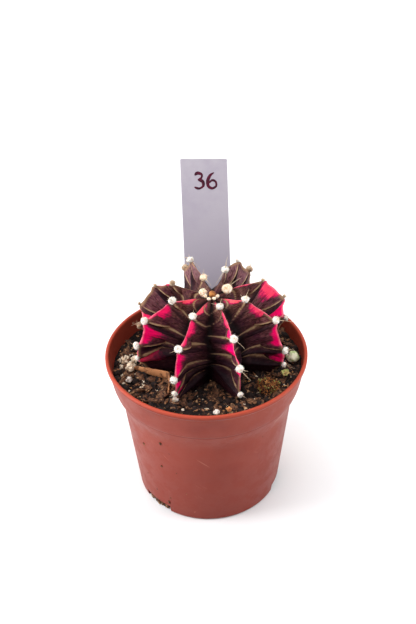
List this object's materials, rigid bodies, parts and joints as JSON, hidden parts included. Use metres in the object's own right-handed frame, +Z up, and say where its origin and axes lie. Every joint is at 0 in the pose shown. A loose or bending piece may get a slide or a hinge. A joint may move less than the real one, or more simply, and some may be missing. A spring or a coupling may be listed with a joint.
{
  "type": "potted moon cactus",
  "caption": "Small ribbed globe cactus with woolly spined areoles in a tapered nursery pot of peat and grit, with a stick plant label leaning on the rim.",
  "frame": {"origin": "centre of the pot's base, on the plane it stands on", "axes": "+Z up along the pot's axis, -Y towards the front of the plant, the label behind it towards +Y, +X to the right seen from the front"},
  "size_m": [0.055, 0.0681, 0.0829],
  "materials": {
    "pot_plastic": "satin",
    "peat_soil": "rough",
    "cactus_skin": "satin",
    "areole_wool": "woolly",
    "dried_flower": "rough",
    "label_plastic": "satin",
    "bark": "rough",
    "coir_fibre": "rough",
    "leaf_litter": "rough",
    "pumice": "rough",
    "pebble": "rough"
  },
  "bodies": {
    "root": {"areole_back_1": "areole_wool", "areole_back_2": "areole_wool", "areole_back_3": "areole_wool", "areole_back_4": "areole_wool", "areole_back_left_1": "areole_wool", "areole_back_left_2": "areole_wool", "areole_back_left_3": "areole_wool", "areole_back_left_4": "areole_wool", "areole_back_right_1": "areole_wool", "areole_back_right_2": "areole_wool", "areole_back_right_3": "areole_wool", "areole_back_right_4": "areole_wool", "areole_front_left_1": "areole_wool", "areole_front_left_2": "areole_wool", "areole_front_left_3": "areole_wool", "areole_front_left_4": "areole_wool", "areole_front_left_5": "areole_wool", "areole_front_left_6": "areole_wool", "areole_front_right_1": "areole_wool", "areole_front_right_2": "areole_wool", "areole_front_right_3": "areole_wool", "areole_front_right_4": "areole_wool", "areole_front_right_5": "areole_wool", "areole_left_1": "areole_wool", "areole_left_2": "areole_wool", "areole_left_3": "areole_wool", "areole_left_4": "areole_wool", "areole_left_5": "areole_wool", "areole_left_rear_1": "areole_wool", "areole_left_rear_2": "areole_wool", "areole_left_rear_3": "areole_wool", "areole_left_rear_4": "areole_wool", "areole_left_rear_5": "areole_wool", "areole_right_1": "areole_wool", "areole_right_2": "areole_wool", "areole_right_3": "areole_wool", "areole_right_4": "areole_wool", "areole_right_5": "areole_wool", "bark_strip": "bark", "cactus_stem": "cactus_skin", "chip_green": "leaf_litter", "fibre_tuft": "coir_fibre", "flower_remnant": "dried_flower", "pebble_front_orange": "pebble", "pebble_front_white": "pebble", "pebble_left": "pebble", "pebble_pale_round": "pebble", "plant_label": "label_plastic", "pot": "pot_plastic", "pumice_left_1": "pumice", "pumice_left_2": "pumice", "pumice_left_3": "pumice", "soil": "peat_soil"}
  },
  "joints": []
}
